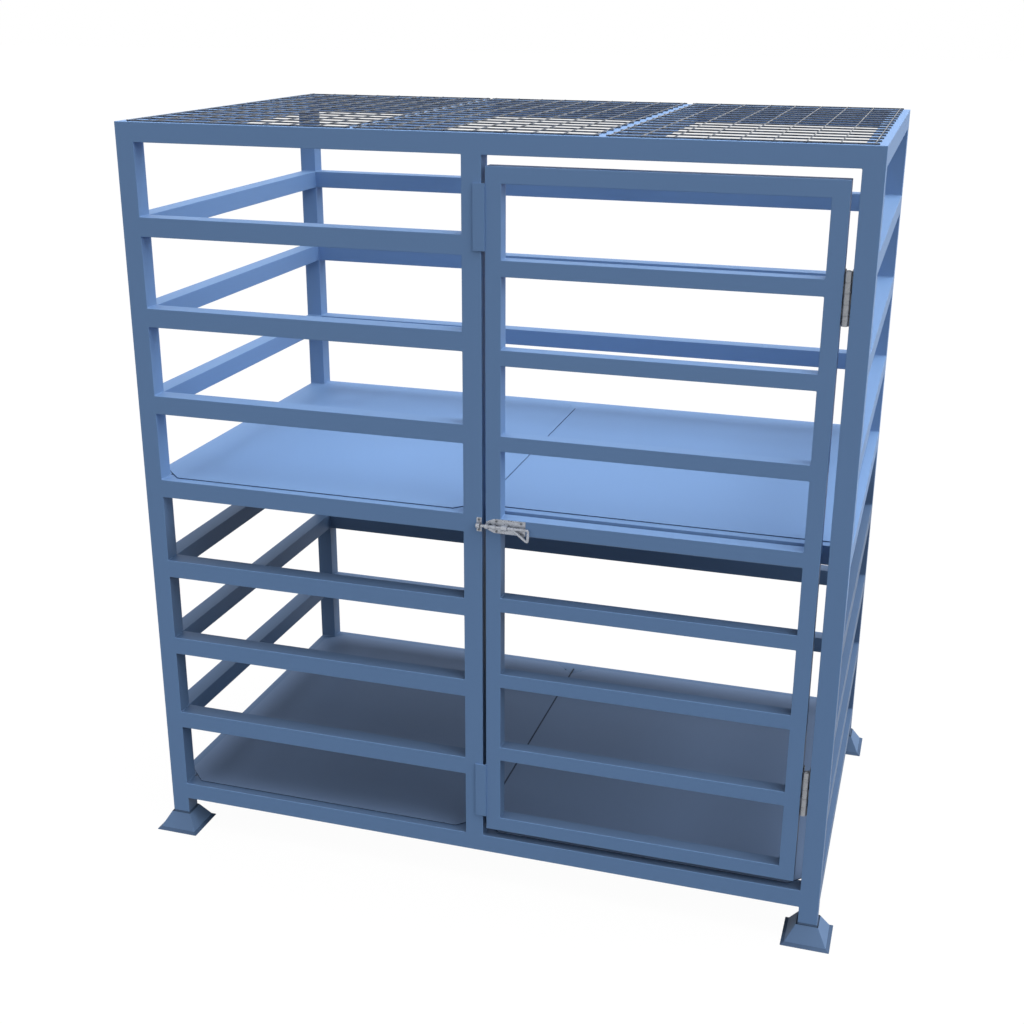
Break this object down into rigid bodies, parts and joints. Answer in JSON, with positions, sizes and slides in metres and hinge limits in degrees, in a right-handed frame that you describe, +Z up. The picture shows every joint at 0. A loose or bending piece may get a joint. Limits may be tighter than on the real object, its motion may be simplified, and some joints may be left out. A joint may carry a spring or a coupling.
{
  "type": "gas cylinder storage cage",
  "caption": "Blue welded storage cage for gas cylinders: barred sides, mesh roof, floor and middle shelf, hinged door with a sliding bolt.",
  "frame": {"origin": "on the ground under the middle of the cage", "axes": "+Z up, -Y towards the door and the front, +X to the right seen from the front"},
  "size_m": [1.978, 1.208, 2.0546],
  "materials": {
    "blue_paint": "satin",
    "mesh_wire": "dull galvanised",
    "zinc": "dull zinc plated"
  },
  "bodies": {
    "frame": {"post_front_left": "blue_paint", "post_front_right": "blue_paint", "post_back_left": "blue_paint", "post_back_right": "blue_paint", "centre_post": "blue_paint", "top_rail_front": "blue_paint", "top_rail_back": "blue_paint", "top_rail_left": "blue_paint", "top_rail_right": "blue_paint", "bottom_rail_front": "blue_paint", "bottom_rail_back": "blue_paint", "bottom_rail_left": "blue_paint", "bottom_rail_right": "blue_paint", "roof_bearer_left": "blue_paint", "roof_bearer_right": "blue_paint", "front_bar_1": "blue_paint", "front_bar_2": "blue_paint", "front_bar_3": "blue_paint", "front_bar_4": "blue_paint", "front_bar_5": "blue_paint", "front_bar_6": "blue_paint", "front_bar_7": "blue_paint", "back_bars": "blue_paint", "left_bars": "blue_paint", "right_bars": "blue_paint", "shelf_front_rail": "blue_paint", "shelf_bearer": "blue_paint", "floor_bearer": "blue_paint", "shelf_plate_left": "blue_paint", "shelf_plate_right": "blue_paint", "floor_plate_left": "blue_paint", "floor_plate_right": "blue_paint", "mesh_left": "mesh_wire", "mesh_middle": "mesh_wire", "mesh_right": "mesh_wire", "foot_front_left": "blue_paint", "foot_front_right": "blue_paint", "foot_back_left": "blue_paint", "foot_back_right": "blue_paint", "hinge_upper_frame_leaf": "zinc", "hinge_upper_pin": "zinc", "hinge_lower_frame_leaf": "zinc", "hinge_lower_pin": "zinc", "latch_keeper": "zinc", "keeper_screws": "zinc"},
    "door": {"door_hinge_stile": "blue_paint", "door_latch_stile": "blue_paint", "door_top_rail": "blue_paint", "door_bottom_rail": "blue_paint", "door_bars": "blue_paint", "door_stop_upper": "blue_paint", "door_stop_lower": "blue_paint", "hinge_upper_door_leaf": "zinc", "hinge_lower_door_leaf": "zinc", "latch_plate": "zinc", "latch_screws": "zinc"},
    "collar": {"latch_collar": "zinc"},
    "bolt": {"latch_bolt": "zinc"}
  },
  "joints": [
    {"name": "door_swing", "type": "hinge", "parent": "frame", "child": "door", "pos_m": [0.89, -0.561, 1.075], "axis": [0, 0, 1], "range_deg": [0, 130]},
    {"name": "bolt_slide", "type": "slide", "parent": "door", "child": "collar", "axis": [1, 0, 0], "range_m": [-0.01, 0.014]},
    {"name": "bolt_turn", "type": "hinge", "parent": "collar", "child": "bolt", "pos_m": [0.061, -0.575, 1.075], "axis": [-1, 0, 0], "range_deg": [0, 180]}
  ]
}
